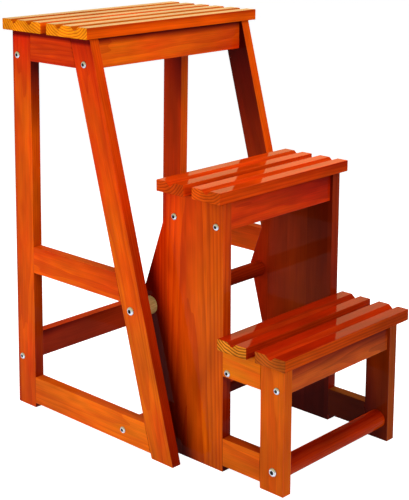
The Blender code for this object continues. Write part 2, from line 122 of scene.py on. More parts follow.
# Stained pine: a thin red-orange stain under a clear gloss varnish. The eye gets an even orange
# with soft growth-ring bands along the grain, redder clouds, and pale end grain with brown arcs.
# Some boards took the stain more deeply than others.
Stain = namedtuple("Stain", "early_wood late_wood clouds")
STAIN = {
    "bright": Stain("#FF8410", "#EC5A0A", "#EE5004"),
    "pale": Stain("#F4700E", "#D84A06", "#DC4804"),
    "orange": Stain("#E85C06", "#C83804", "#C82A02"),
    "brown": Stain("#F06408", "#BC3404", "#B42002"),
    "rust": Stain("#D85016", "#A83412", "#A82C10"),
    "red": Stain("#E84806", "#C42A04", "#C82404"),
    "deep": Stain("#D83C06", "#A82202", "#A81C02"),
    "dark": Stain("#B02C04", "#801402", "#7C0E02"),
    "seat": Stain("#D26204", "#BC4002", "#C23C02"),
    "low_board": Stain("#BC3004", "#901A02", "#8E1402"),
}
# Sawn ends, where the rings show as arcs: the pale early wood, and the dark lines
ENDS = {
    "seat": ("#FA9612", "#D45E08"),
    "mid": ("#DE540C", "#B03A06"),
    "mid_rear": ("#C8440A", "#9E2E06"),
    "low_rear": ("#EC8C24", "#7E3A04"),
    "low_front": ("#C85E18", "#9A4210"),
    "other": ("#D05810", "#8E2E06"),
}
# How the grain shows: share of the dark bands, ring spacing, how far the rings wander, share and
# length of the clouds, and how much varnish lies over it
Grain = namedtuple("Grain", "bands ring sway cloudiness cloud_size varnish")
GRAIN = {
    "leg": Grain(0.5, 3.4 * MM, 14 * MM, 0.8, 40 * MM, 0.12),
    "panel": Grain(0.5, 5 * MM, 5 * MM, 0.85, 110 * MM, 0.12),
    "seat": Grain(0.4, 4.6 * MM, 12 * MM, 0.5, 40 * MM, 0.9),
    "tread": Grain(0.45, 4.6 * MM, 12 * MM, 0.6, 40 * MM, 0.7),
    "cross": Grain(0.5, 3.6 * MM, 16 * MM, 0.8, 40 * MM, 0.12),
}
# A piece comes from anywhere in the trunk: its grain runs up to so many degrees askew, and the
# heart of its rings lies so many millimetres aside, out and along
ASKEW = 1.2
HEART_ASIDE = 18
HEART_OUT = (-62, -34)
HEART_ALONG = 200
# Ring spacing of the wave texture at a scale of 1, in metres
WAVE_SPACING = 0.3142
# Fibres are finer than the render's pixels, so they are drawn this wide
FIBRE = 1.4 * MM
# The stain lies unevenly, in long soft patches two fingers wide
PATCH = 34 * MM
# A panel is glued up from staves of this width, each from another place in the trunk, up to so
# many metres along, across and out
STAVE = 42 * MM
STAVE_PLACES = (0.4, 0.03, 0.02)
# How far a board's top takes its top colour: partly wear, partly painted light and reflection
TOP_COLOUR_SHARE = 0.8

# The narrow faces of some pieces take their own colour: partly their stain, and partly painted
# light and shade. Shares of red, green and blue
NARROW_STAIN_AND_PAINTED_SHADE = {
    "front_leg_right": (1.14, 1.05, 0.6),
    "front_leg_left": (0.9, 0.6, 0.5),
    "rear_leg_left": (0.8, 0.8, 0.8),
    "rear_leg_right": (1.0, 1.15, 0.9),
    "low_leg_left": (1.4, 1.3, 1.0),
    "low_leg_right": (0.66, 0.62, 0.8),
    "low_bottom_rail_left": (0.56, 0.36, 0.6),
    "low_bottom_rail_right": (0.4, 0.5, 1.6),
    "bottom_rail_left": (0.9, 0.75, 1.2),
    "panel_left": (1.15, 1.0, 1.0),
    "panel_right": (0.45, 0.25, 0.3),
    "stop_bar": (0.42, 0.3, 0.3),
    "seat_board_front": (1.38, 0.94, 1.0),
    "seat_board_rear": (1.3, 1.1, 1.0),
    "low_board_front": (1.27, 2.0, 1.6),
    "low_board_rear": (1.1, 1.25, 1.0),
}
# Painted light and shade in the stain's colour: painted shadows under the overhangs of the seat
# and boards and behind the legs, and faces darker or lighter towards one end or edge. How light
# the face is at its piece's middle, how much lighter in each metre along each axis, and how light
# at most. Where a face has more than one row, their lights are multiplied.
WIDE_PAINTED_SHADING = {
    "front_leg_right": [(1.6, (0, 0, -5.0), 2.0)],
    "front_leg_left": [(1.0, (0, 0, -0.2), 1.2), (44.2, (0, 0, -142), 1.0),
                       (2.6, (0, 0, -6), 1.0)],
    "rear_leg_left": [(1.8, (0, -55, -0.8), 0.97), (44.2, (0, 0, -142), 1.0)],
    "rear_leg_right": [(1.0, (0, 0, -0.5), 1.5), (2.2, (0, 10, -7.0), 0.97)],
    "panel_left": [(1.06, (0, -11.9, 4.0), 0.94)],
    "panel_right": [(1.3, (0, 2.6, 5.5), 0.98), (1.03, (0, 4.5, -1.8), 1.06)],
    "low_leg_right": [(1.0, (0, 0, 2.4), 1.5), (0.98, (0, -20, 4), 0.9)],
    "low_bottom_rail_right": [(0.6, (0, 2.0, 0), 1.2)],
    "seat_apron_front": [(1.0, (-1.2, 0, 0), 1.5), (2.0, (0, 0, -85), 1.1)],
    "mid_apron_front": [(1.06, (-3.0, 0, -9), 1.2)],
    "low_apron_front": [(1.24, (-1.9, 0, -50), 1.7)],
    "rear_rail": [(1.5, (2.8, 0, -42), 0.84)],
    "low_dowel": [(1.05, (0, 0, -42), 1.5)],
    "mid_rail_left": [(0.92, (0, 1.3, -7), 1.05)],
    "mid_rail_right": [(1.06, (0, 0.9, -10), 1.1)],
    "top_rail_left": [(1.17, (0, 0, 19), 0.88), (2.2, (0, 0, -140), 1.0)],
    "bottom_rail_left": [(1.05, (0, -1.1, 0.8), 1.1)],
}
NARROW_PAINTED_SHADING = {
    "front_leg_left": [(0.91, (0, 0, 1.1), 1.2)],
    "panel_left": [(0.78, (0, 0, 2.9), 1.4)],
    "rear_leg_left": [(1.0, (0, 0, 1.8), 1.2), (2.1, (0, 0, -7.5), 1.0)],
    "low_dowel": [(1.05, (0, 0, -42), 1.5)],
    "seat_board_front": [(0.97, (0, 0, -45), 0.98)],
    "mid_board_front": [(1.12, (-1.3, 0, -38), 1.15)],
    "low_board_front": [(1.06, (-1.35, 0, -2), 1.3)],
}
# Painted shade that only lowers the green and blue of a wide face, so that it turns redder
GREEN_PAINTED_SHADING = {
    "front_leg_left": [(1.07, (0, 5, -3), 1.35)],
    "rear_leg_left": [(2.3, (0, 0, -6.5), 1.03)],
    "panel_left": [(0.85, (0, -6, -1.2), 1.15)],
    "panel_right": [(1.0, (0, -8, 0.8), 1.5)],
    "seat_apron_front": [(1.8, (-6, 0, 20), 1.15)],
    "mid_apron_front": [(0.74, (-1, 0, -6), 0.97)],
}
# The deepest painted shade leaves this much light, and it is redder: the green and blue go down
# with this power of the light
DARKEST_PAINTED_SHADE = 0.2
PAINTED_SHADE_REDDENING = 1.8
# The painted light and shade lie on the faces that look this way, up, to the front or to the left
PAINTED_SHADING_SIDE = (-1, -1, 0.6)


def looking(tree, way, none, full, share=1.0, both_ways=False):
    """How much a face looks one way: 0 where its cosine is under none, share where over full."""
    normal = add(tree, "ShaderNodeTexCoord", output="Normal")
    cosine = add(tree, "ShaderNodeVectorMath", {0: normal, 1: way}, output="Value",
                 operation="DOT_PRODUCT")
    if both_ways:
        cosine = add(tree, "ShaderNodeMath", {0: cosine}, operation="ABSOLUTE")
    return add(tree, "ShaderNodeMapRange", {"Value": cosine, "From Min": none,
                                            "From Max": full, "To Max": share})


def sawn_place(tree, name, place, centre, ways, heart):
    """A point's place in the trunk that its piece was sawn from: along, across and out."""
    grain, across, face = ways
    chance = Random(name)
    tilt = Matrix.Rotation(radians(chance.uniform(-ASKEW, ASKEW)), 3, "Y")
    turn = Matrix(ways).transposed() @ tilt
    aside, out = heart or (chance.uniform(-HEART_ASIDE, HEART_ASIDE) * MM,
                           chance.uniform(*HEART_OUT) * MM)
    along = chance.uniform(-HEART_ALONG, HEART_ALONG)
    middle = centre + across * aside + face * out + grain * along * MM
    return add(tree, "ShaderNodeMapping", {"Vector": place, "Location": middle,
               "Rotation": turn.to_euler()}, vector_type="TEXTURE")


def glued_staves(tree, sawn):
    """Move each stave of a panel to its own place in the trunk, and give it its own tone."""
    across = add(tree, "ShaderNodeSeparateXYZ", {0: sawn}, output="Y")
    stave = add(tree, "ShaderNodeMath", {0: across, 1: STAVE}, operation="DIVIDE")
    stave = add(tree, "ShaderNodeMath", {0: stave}, operation="FLOOR")
    own = add(tree, "ShaderNodeTexWhiteNoise", {"W": stave}, output=None, noise_dimensions="1D")
    moved = add(tree, "ShaderNodeVectorMath", {0: own.outputs["Color"], 1: STAVE_PLACES},
                operation="MULTIPLY")
    sawn = add(tree, "ShaderNodeVectorMath", {0: sawn, 1: moved}, operation="ADD")
    tone = add(tree, "ShaderNodeMapRange", {"Value": own.outputs["Value"], "To Min": 0.86,
                                            "To Max": 1.1})
    return sawn, tone


def late_rings(tree, sawn, wood):
    """Growth rings, each with a pale early part, then a dark late line that ends sharply."""
    # The trunk is nearly straight: its rings wander by a few millimetres over a hand's length
    long = add(tree, "ShaderNodeVectorMath", {0: sawn, 1: (0.12, 1, 1)}, operation="MULTIPLY")
    wander = add(tree, "ShaderNodeTexNoise", {"Vector": long, "Scale": 24, "Detail": 2},
                 output="Color")
    wander = add(tree, "ShaderNodeVectorMath", {0: wander, 1: (0.5, 0.5, 0.5)},
                 operation="SUBTRACT")
    wander = add(tree, "ShaderNodeVectorMath", {0: wander, 1: (0, wood.sway, wood.sway)},
                 operation="MULTIPLY")
    long = add(tree, "ShaderNodeVectorMath", {0: long, 1: wander}, operation="ADD")
    rings = add(tree, "ShaderNodeTexWave",
                {"Vector": long, "Scale": WAVE_SPACING / wood.ring, "Distortion": 0.5,
                 "Detail": 1},
                output="Fac", wave_type="RINGS", rings_direction="X", wave_profile="SAW")
    return add(tree, "ShaderNodeMapRange", {"Value": rings, "From Min": 0.35, "From Max": 0.95},
               interpolation_type="SMOOTHSTEP")


def drawn_out(tree, sawn, size, squeeze, detail, roughness, low, high):
    """A noise of one size that is drawn out along the grain, from 0 at low to 1 at high."""
    long = add(tree, "ShaderNodeVectorMath", {0: sawn, 1: (squeeze, 1, 1)}, operation="MULTIPLY")
    noise = add(tree, "ShaderNodeTexNoise", {"Vector": long, "Scale": 1 / size,
                                             "Detail": detail, "Roughness": roughness})
    return add(tree, "ShaderNodeMapRange", {"Value": noise, "From Min": low, "From Max": high})


def painted_shading(tree, name, place, centre, narrow):
    """Painted light and shade, in red, green and blue, towards a face's ends and edges."""
    off = add(tree, "ShaderNodeVectorMath", {0: place, 1: centre}, operation="SUBTRACT")
    lights = []
    for fades in (WIDE_PAINTED_SHADING, NARROW_PAINTED_SHADING, GREEN_PAINTED_SHADING):
        light = 1.0
        for at_middle, slopes, at_most in fades.get(name, []):
            fade = add(tree, "ShaderNodeVectorMath", {0: off, 1: slopes}, output="Value",
                       operation="DOT_PRODUCT")
            fade = add(tree, "ShaderNodeMath", {0: fade, 1: at_middle}, operation="ADD")
            fade = add(tree, "ShaderNodeMath", {0: fade, 1: at_most}, operation="MINIMUM")
            light = add(tree, "ShaderNodeMath", {0: fade, 1: light}, operation="MULTIPLY")
        lights.append(add(tree, "ShaderNodeMath", {0: light, 1: DARKEST_PAINTED_SHADE},
                          operation="MAXIMUM"))
    wide_light, narrow_light, green_light = lights
    fade = add(tree, "ShaderNodeMix", {"Factor": narrow, "A": wide_light, "B": narrow_light})
    side = looking(tree, PAINTED_SHADING_SIDE, none=0.1, full=0.5)
    fade = add(tree, "ShaderNodeMix", {"Factor": side, "A": 1.0, "B": fade})
    wide = add(tree, "ShaderNodeMath", {0: side, 1: narrow}, operation="SUBTRACT", use_clamp=True)
    green = add(tree, "ShaderNodeMix", {"Factor": wide, "A": 1.0, "B": green_light})
    redder = add(tree, "ShaderNodeMath", {0: fade, 1: PAINTED_SHADE_REDDENING}, operation="POWER")
    redder = add(tree, "ShaderNodeMath", {0: redder, 1: green}, operation="MULTIPLY")
    return add(tree, "ShaderNodeCombineXYZ", {0: fade, 1: redder, 2: redder})


def edge_varnish(tree, ways, varnish):
    """Varnish builds up on the eased edges, which catch the light in thin lines."""
    normal = add(tree, "ShaderNodeTexCoord", output="Normal")
    flat = 0.0
    for way in ways:
        turned = add(tree, "ShaderNodeVectorMath", {0: normal, 1: way}, output="Value",
                     operation="DOT_PRODUCT")
        turned = add(tree, "ShaderNodeMath", {0: turned}, operation="ABSOLUTE")
        flat = add(tree, "ShaderNodeMath", {0: flat, 1: turned}, operation="MAXIMUM")
    return add(tree, "ShaderNodeMapRange", {"Value": flat, "From Min": 0.95, "From Max": 0.99,
                                            "To Min": 0.5, "To Max": varnish})


def stained_pine(name, centre, grain, face, kind, stain, inner=None, heart=None, ends="other",
                 worn=None):
    """Stained pine for one piece, sawn with its grain along one way and its wide face another.

    kind is the piece's kind of grain, and stain how deeply it is stained. inner is the colour of
    the face that looks into the chair or down, as painted light and shade. heart is the middle of
    the growth rings from the piece's centre: across its wide face, and out of it. A panel is
    edge-glued from staves. The last argument is the colour of a wide top face: partly wear, and
    partly painted light and reflection from above.
    """
    material, tree = new_material(f"stained_pine_{name}")
    wood = GRAIN[kind]
    early_wood, late_wood, cloud_red = map(linear, STAIN[stain])
    across = face.cross(grain)
    ways = (grain, across, face)
    place = add(tree, "ShaderNodeTexCoord", output="Object")
    sawn = sawn_place(tree, name, place, centre, ways, heart)
    if kind == "panel":
        sawn, tone = glued_staves(tree, sawn)
    late = late_rings(tree, sawn, wood)
    fibres = drawn_out(tree, sawn, FIBRE, squeeze=0.02, detail=3, roughness=0.6, low=0.3,
                       high=0.7)
    clouds = drawn_out(tree, sawn, wood.cloud_size, squeeze=0.3, detail=3, roughness=0.55,
                       low=0.36, high=0.72)

    band = add(tree, "ShaderNodeMath", {0: late, 1: wood.bands}, operation="MULTIPLY")
    colour = add(tree, "ShaderNodeMix", {"Factor": band, "A": early_wood, "B": late_wood},
                 output="Result", data_type="RGBA")
    cloud = add(tree, "ShaderNodeMath", {0: clouds, 1: wood.cloudiness}, operation="MULTIPLY")
    colour = add(tree, "ShaderNodeMix", {"Factor": cloud, "A": colour, "B": cloud_red},
                 output="Result", data_type="RGBA")
    # Faces that look into the chair, or down, take the inner colour: painted shade, and on some
    # pieces painted light
    inside_shade_mask = looking(tree, -face, none=0.5, full=0.9, share=0.9)
    inner_shade_colour = linear(inner) if inner else late_wood
    colour = add(tree, "ShaderNodeMix", {"Factor": inside_shade_mask, "A": colour, "B": inner_shade_colour},
                 output="Result", data_type="RGBA")
    varnish = wood.varnish
    # Top faces: partly wear, and partly painted light and reflection from above
    if worn:
        top_face_mask = looking(tree, face, none=0.85, full=0.98, share=TOP_COLOUR_SHARE)
        colour = add(tree, "ShaderNodeMix", {"Factor": top_face_mask, "A": colour, "B": linear(worn)},
                     output="Result", data_type="RGBA")
        # Sanded and flatted once more on top, the varnish is thicker there than on the edges
        varnish = add(tree, "ShaderNodeMapRange", {"Value": top_face_mask, "From Max": TOP_COLOUR_SHARE,
                                                   "To Min": 0.06, "To Max": varnish})
    # Ends of the fibres take the stain less evenly
    pale, dark = map(linear, ENDS[ends])
    arcs = add(tree, "ShaderNodeMix", {"Factor": late, "A": pale, "B": dark}, output="Result",
               data_type="RGBA")
    end = looking(tree, grain, none=0.55, full=0.8, both_ways=True)
    colour = add(tree, "ShaderNodeMix", {"Factor": end, "A": colour, "B": arcs},
                 output="Result", data_type="RGBA")
    # The narrow faces, and not the eased edges or the slopes of the grooves: their own colour,
    # partly stain and partly painted light and shade
    narrow = looking(tree, across, none=0.75, full=0.9, both_ways=True)
    side = add(tree, "ShaderNodeMix", {"Factor": narrow, "A": (1, 1, 1),
               "B": NARROW_STAIN_AND_PAINTED_SHADE.get(name, (1, 1, 1))}, output="Result", data_type="VECTOR")
    colour = add(tree, "ShaderNodeVectorMath", {0: colour, 1: side}, operation="MULTIPLY")
    # Painted light and shade: painted shadows under overhangs and behind legs, and gradients
    if name in WIDE_PAINTED_SHADING or name in NARROW_PAINTED_SHADING:
        depth = painted_shading(tree, name, place, centre, narrow)
        colour = add(tree, "ShaderNodeVectorMath", {0: colour, 1: depth}, operation="MULTIPLY")
    streak = add(tree, "ShaderNodeMapRange", {"Value": fibres, "To Min": 0.88, "To Max": 1.1})
    patches = drawn_out(tree, sawn, PATCH, squeeze=0.25, detail=2, roughness=0.55, low=0.3,
                        high=0.7)
    patches = add(tree, "ShaderNodeMapRange", {"Value": patches, "To Min": 0.78,
                                               "To Max": 1.24})
    streak = add(tree, "ShaderNodeMath", {0: streak, 1: patches}, operation="MULTIPLY")
    if kind == "panel":
        streak = add(tree, "ShaderNodeMath", {0: streak, 1: tone}, operation="MULTIPLY")
    colour = add(tree, "ShaderNodeVectorMath", {0: colour, "Scale": streak}, operation="SCALE")

    if inner and not worn:
        varnish = edge_varnish(tree, ways, varnish)
    grooves = add(tree, "ShaderNodeMath", {0: fibres, 1: late}, operation="ADD")
    bump = add(tree, "ShaderNodeBump", {"Height": grooves, "Strength": 0.15,
                                        "Distance": 0.05 * MM})
    rough = add(tree, "ShaderNodeMapRange", {"Value": fibres, "To Min": 0.42, "To Max": 0.56})
    shader = add(tree, "ShaderNodeBsdfPrincipled",
                 {"Base Color": colour, "Roughness": rough, "Normal": bump,
                  "Specular IOR Level": 0.0, "Coat Weight": varnish, "Coat Roughness": 0.05,
                  "Coat IOR": 1.3})
    add(tree, "ShaderNodeOutputMaterial", {"Surface": shader})
    return material


def bare_beech(name):
    """Unfinished turned beech: pale tan, dull, with short darker flecks."""
    material, tree = new_material(name)
    place = add(tree, "ShaderNodeTexCoord", output="Object")
    thread = add(tree, "ShaderNodeVectorMath", {0: place, 1: (0.1, 1, 1)}, operation="MULTIPLY")
    flecks = add(tree, "ShaderNodeTexNoise", {"Vector": thread, "Scale": 1 / (1.5 * MM),
                                              "Detail": 3})
    flecks = add(tree, "ShaderNodeMapRange", {"Value": flecks, "From Min": 0.35,
                                              "From Max": 0.7})
    colour = add(tree, "ShaderNodeMix", {"Factor": flecks, "A": linear("#DCC07C"),
                 "B": linear("#B4924E")}, output="Result", data_type="RGBA")
    bump = add(tree, "ShaderNodeBump", {"Height": flecks, "Strength": 0.3, "Distance": 0.1 * MM})
    rough = add(tree, "ShaderNodeMapRange", {"Value": flecks, "To Min": 0.6, "To Max": 0.75})
    shader = add(tree, "ShaderNodeBsdfPrincipled",
                 {"Base Color": colour, "Roughness": rough, "Normal": bump})
    add(tree, "ShaderNodeOutputMaterial", {"Surface": shader})
    return material


def plated_metal(name, bright, dull, grain_size):
    """Plated or turned metal, or the painted shade of a socket, with a slightly uneven sheen and
    fine marks.
    """
    material, tree = new_material(name)
    place = add(tree, "ShaderNodeTexCoord", output="Object")
    marks = add(tree, "ShaderNodeTexNoise", {"Vector": place, "Scale": 1 / grain_size,
                                             "Detail": 4})
    marks = add(tree, "ShaderNodeMapRange", {"Value": marks, "From Min": 0.35, "From Max": 0.7})
    colour = add(tree, "ShaderNodeMix", {"Factor": marks, "A": linear(bright),
                 "B": linear(dull)}, output="Result", data_type="RGBA")
    bump = add(tree, "ShaderNodeBump", {"Height": marks, "Strength": 0.2, "Distance": 0.03 * MM})
    rough = add(tree, "ShaderNodeMapRange", {"Value": marks, "To Min": 0.22, "To Max": 0.36})
    shader = add(tree, "ShaderNodeBsdfPrincipled",
                 {"Base Color": colour, "Roughness": rough, "Normal": bump, "Metallic": 1.0})
    add(tree, "ShaderNodeOutputMaterial", {"Surface": shader})
    return material


# Zinc-plated steel gives a bright, slightly blue silver with a faint mottle, and in the sockets
# a near black: painted shade of the deep recess, with some dark oxide. Turned brass is a soft
# yellow.
ZINC = plated_metal("zinc_plated_steel", "#CED6E4", "#A6AEBE", 2 * MM)
SOCKET_SHADE = plated_metal("socket_shade_steel", "#2C2B2A", "#161514", 1.5 * MM)
BRASS = plated_metal("turned_brass", "#D8B060", "#B08838", 2 * MM)
BEECH = bare_beech("bare_beech")

# Edges that turn more sharply than this are eased around a piece's ends
END_EDGE = radians(50)
# Points closer than this are one
SAME_POINT = 0.01 * MM


def new_tree(name, sizes):
    """A Geometry Nodes tree with named inputs: floats, and a material."""
    tree = bpy.data.node_groups.new(name, "GeometryNodeTree")
    tree.interface.new_socket("Geometry", in_out="INPUT", socket_type="NodeSocketGeometry")
    for size in sizes:
        tree.interface.new_socket(size, in_out="INPUT", socket_type="NodeSocketFloat")
    tree.interface.new_socket("Material", in_out="INPUT", socket_type="NodeSocketMaterial")
    tree.interface.new_socket("Geometry", in_out="OUTPUT", socket_type="NodeSocketGeometry")
    return tree, tree.nodes.new("NodeGroupInput").outputs


def finish_tree(tree, solid, given, socket_shade_material=None):
    """End a tree in plain smooth geometry with its material, and a dark painted-shade one in its
    sockets.
    """
    solid = add(tree, "GeometryNodeSetShadeSmooth", {"Geometry": solid, "Shade Smooth": True})
    solid = add(tree, "GeometryNodeRealizeInstances", {"Geometry": solid})
    solid = add(tree, "GeometryNodeSetMaterial", {"Geometry": solid,
                "Material": given["Material"]})
    if socket_shade_material:
        deep = add(tree, "GeometryNodeInputNamedAttribute", {"Name": "in_socket"},
                   data_type="FLOAT")
        deep = add(tree, "ShaderNodeMath", {0: deep, 1: 0.5}, operation="GREATER_THAN")
        solid = add(tree, "GeometryNodeSetMaterial", {"Geometry": solid, "Selection": deep,
                    "Material": socket_shade_material})
    add(tree, "NodeGroupOutput", {"Geometry": solid})


def grow(name, mesh, tree, values, easing=0.0):
    """Run a tree on a mesh and return the result as a plain mesh object."""
    drawn = new_object(name, mesh)
    modifier = drawn.modifiers.new("form", "NODES")
    modifier.node_group = tree
    for socket in tree.interface.items_tree:
        if socket.in_out == "INPUT" and socket.name in values:
            modifier[socket.identifier] = values[socket.name]
    if easing:
        ease_ends(drawn, easing)
    return settled(drawn)


def ease_ends(drawn, width):
    """Round off the sharp edges around a piece's ends."""
    rounding = drawn.modifiers.new("eased ends", "BEVEL")
    rounding.width = width
    rounding.segments = 2
    rounding.limit_method = "ANGLE"
    rounding.angle_limit = END_EDGE


def settled(drawn):
    """A plain piece from a drawn object, whose flat faces look flat beside rounded edges."""
    level = drawn.modifiers.new("flat faces", "WEIGHTED_NORMAL")
    level.keep_sharp = True
    evaluated = drawn.evaluated_get(bpy.context.evaluated_depsgraph_get())
    mesh = bpy.data.meshes.new_from_object(evaluated)
    name = drawn.name
    bpy.data.objects.remove(drawn, do_unlink=True)
    mesh.name = name
    return new_object(name, mesh)


# Boards of the seat and treads: ribs with sloping-sided grooves between them
BOARD_THICKNESS = 18 * MM
GROOVE_OPENING = 17 * MM
GROOVE_FLOOR = 3 * MM
GROOVE_DEPTH = 6 * MM
BOARD_EDGE = 1.2 * MM
BOARD_END_EASING = 0.8 * MM
# Undersides of the boards are darker: painted shade
BOARD_UNDERSIDE_SHADE = "#7C1E02"
# Each board's body, ribs, grain, stain, ends and top colour (partly wear, partly painted light
# and reflection), and the heart of its rings: across, and up
Board = namedtuple("Board", "body ribs kind stain ends worn heart")
BOARDS = {
    "seat_board_rear": Board("stool", 3, "seat", "seat", "seat", "#FF9444",
                             (-62 * MM, 70 * MM)),
    "seat_board_front": Board("stool", 3, "seat", "seat", "seat", "#FFA45A",
                              (-4 * MM, 46 * MM)),
    "mid_board_rear": Board("steps", 2, "tread", "red", "mid_rear", "#F04606",
                            (30 * MM, 44 * MM)),
    "mid_board_front": Board("steps", 2, "tread", "red", "mid", "#F04606",
                             (4 * MM, 40 * MM)),
    "low_board_rear": Board("steps", 2, "tread", "low_board", "low_rear", "#C42602",
                            (-16 * MM, 52 * MM)),
    "low_board_front": Board("steps", 2, "tread", "deep", "low_front", "#B81E02",
                             (-12 * MM, 44 * MM)),
}


def grooved_board_tree():
    """A board along X: an outline of ribs and grooves, rounded and drawn out to its length."""
    tree, given = new_tree("grooved_board", ["Back", "Front", "Top", "Thickness", "Half length",
                           "Ribs", "Groove opening", "Groove floor", "Groove depth", "Edge"])
    width = add(tree, "ShaderNodeMath", {0: given["Back"], 1: given["Front"]},
                operation="SUBTRACT")
    grooves = add(tree, "ShaderNodeMath", {0: given["Ribs"], 1: 1.0}, operation="SUBTRACT")
    lost = add(tree, "ShaderNodeMath", {0: grooves, 1: given["Groove opening"]},
               operation="MULTIPLY")
    rib = add(tree, "ShaderNodeMath", {0: width, 1: lost}, operation="SUBTRACT")
    rib = add(tree, "ShaderNodeMath", {0: rib, 1: given["Ribs"]}, operation="DIVIDE")
    pitch = add(tree, "ShaderNodeMath", {0: rib, 1: given["Groove opening"]}, operation="ADD")
    slope = add(tree, "ShaderNodeMath", {0: given["Groove opening"], 1: given["Groove floor"]},
                operation="SUBTRACT")
    slope = add(tree, "ShaderNodeMath", {0: slope, 1: 0.5}, operation="MULTIPLY")

    # Four outline points for each rib: the two ends of its top, and of the groove behind it
    count = add(tree, "ShaderNodeMath", {0: given["Ribs"], 1: 4.0}, operation="MULTIPLY")
    line = add(tree, "GeometryNodeMeshLine", {"Count": count})
    index = add(tree, "GeometryNodeInputIndex")
    which = add(tree, "ShaderNodeMath", {0: index, 1: 4.0}, operation="DIVIDE")
    which = add(tree, "ShaderNodeMath", {0: which}, operation="FLOOR")
    corner = add(tree, "ShaderNodeMath", {0: index, 1: 4.0}, operation="FLOORED_MODULO")
    place = add(tree, "ShaderNodeMath", {0: which, 1: pitch}, operation="MULTIPLY")
    for threshold, step in ((0.5, rib), (1.5, slope), (2.5, given["Groove floor"])):
        past = add(tree, "ShaderNodeMath", {0: corner, 1: threshold}, operation="GREATER_THAN")
        place = add(tree, "ShaderNodeMath", {0: past, 1: step, 2: place},
                    operation="MULTIPLY_ADD")
    below = add(tree, "ShaderNodeMath", {0: corner, 1: 1.5}, operation="GREATER_THAN")
    height = add(tree, "ShaderNodeMath", {0: below, 1: given["Groove depth"]},
                 operation="MULTIPLY")
    # The last rib has no groove behind it: its last two points are the board's lower corners
    last = add(tree, "ShaderNodeMath", {0: count, 1: -2.5}, operation="ADD")
    under = add(tree, "ShaderNodeMath", {0: index, 1: last}, operation="GREATER_THAN")
    first_under = add(tree, "ShaderNodeMath", {0: corner, 1: 2.5}, operation="LESS_THAN")
    under_place = add(tree, "ShaderNodeMath", {0: first_under, 1: width}, operation="MULTIPLY")
    place = add(tree, "ShaderNodeMix", {"Factor": under, "A": place, "B": under_place})
    height = add(tree, "ShaderNodeMix", {"Factor": under, "A": height,
                                         "B": given["Thickness"]})
    spot = add(tree, "ShaderNodeCombineXYZ", {"X": place, "Y": height})
    line = add(tree, "GeometryNodeSetPosition", {"Geometry": line, "Position": spot})
    outline = add(tree, "GeometryNodeMeshToCurve", {"Mesh": line})
    outline = add(tree, "GeometryNodeSetSplineCyclic", {"Geometry": outline, "Cyclic": True})
    outline = add(tree, "GeometryNodeFilletCurve", {"Curve": outline, "Radius": given["Edge"],
                  "Count": 3, "Limit Radius": True}, mode="POLY")

    # The outline is filled, drawn out along +Z, and turned so that it runs along X
    end = add(tree, "GeometryNodeFillCurve", {"Curve": outline}, mode="NGONS")
    length = add(tree, "ShaderNodeMath", {0: given["Half length"], 1: 2.0},
                 operation="MULTIPLY")
    drawn = add(tree, "GeometryNodeExtrudeMesh", {"Mesh": end, "Offset": (0.0, 0.0, 1.0),
                "Offset Scale": length, "Individual": False}, mode="FACES")
    back = add(tree, "GeometryNodeFlipFaces", {"Mesh": end})
    both = add(tree, "GeometryNodeJoinGeometry", output=None)
    for part in (back, drawn):
        tree.links.new(part, both.inputs[0])
    solid = add(tree, "GeometryNodeMergeByDistance", {"Geometry": both.outputs[0],
                                                      "Distance": SAME_POINT})
    spot = add(tree, "GeometryNodeInputPosition")
    drawn_at = add(tree, "ShaderNodeSeparateXYZ", {0: spot}, output=None).outputs
    x = add(tree, "ShaderNodeMath", {0: drawn_at["Z"], 1: given["Half length"]},
            operation="SUBTRACT")
    y = add(tree, "ShaderNodeMath", {0: given["Back"], 1: drawn_at["X"]}, operation="SUBTRACT")
    z = add(tree, "ShaderNodeMath", {0: given["Top"], 1: drawn_at["Y"]}, operation="SUBTRACT")
    spot = add(tree, "ShaderNodeCombineXYZ", {"X": x, "Y": y, "Z": z})
    solid = add(tree, "GeometryNodeSetPosition", {"Geometry": solid, "Position": spot})
    finish_tree(tree, solid, given)
    return tree


def boards():
    """The grooved boards of the seat and of the two steps, one piece for each."""
    tree = grooved_board_tree()
    for name, board in BOARDS.items():
        low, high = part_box(name)
        material = stained_pine(name, (low + high) / 2, ALONG, UP, board.kind, board.stain,
                                BOARD_UNDERSIDE_SHADE, board.heart, board.ends, board.worn)
        values = {"Back": high.y, "Front": low.y, "Top": high.z, "Thickness": BOARD_THICKNESS,
                  "Half length": high.x, "Ribs": float(board.ribs),
                  "Groove opening": GROOVE_OPENING, "Groove floor": GROOVE_FLOOR,
                  "Groove depth": GROOVE_DEPTH, "Edge": BOARD_EDGE, "Material": material}
        seed = bpy.data.meshes.new("start")
        piece = grow(f"grooved_{name}", seed, tree, values, BOARD_END_EASING)
        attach(piece, board.body)
        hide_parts(name)


# Heads of the screws and bolts: radius as a share of the head's, height as a share of the head's
HEAD_ROWS = ((1.0, 0.0), (1.0, 0.22), (0.96, 0.45), (0.84, 0.74), (0.68, 0.93), (0.54, 1.0))
SHANK_ROWS = 3
SOCKET_ROWS = 4
HEAD_SIDES = 36
RIM = 0.2 * MM
SCREW = {"Head width": 10.8 * MM, "Head height": 2.2 * MM, "Socket width": 4.5 * MM,
         "Socket depth": 1.6 * MM, "Shank width": 5 * MM}
BOLT = {"Head width": 13.5 * MM, "Head height": 2.8 * MM, "Socket width": 5.8 * MM,
        "Socket depth": 2 * MM, "Shank width": 8 * MM}


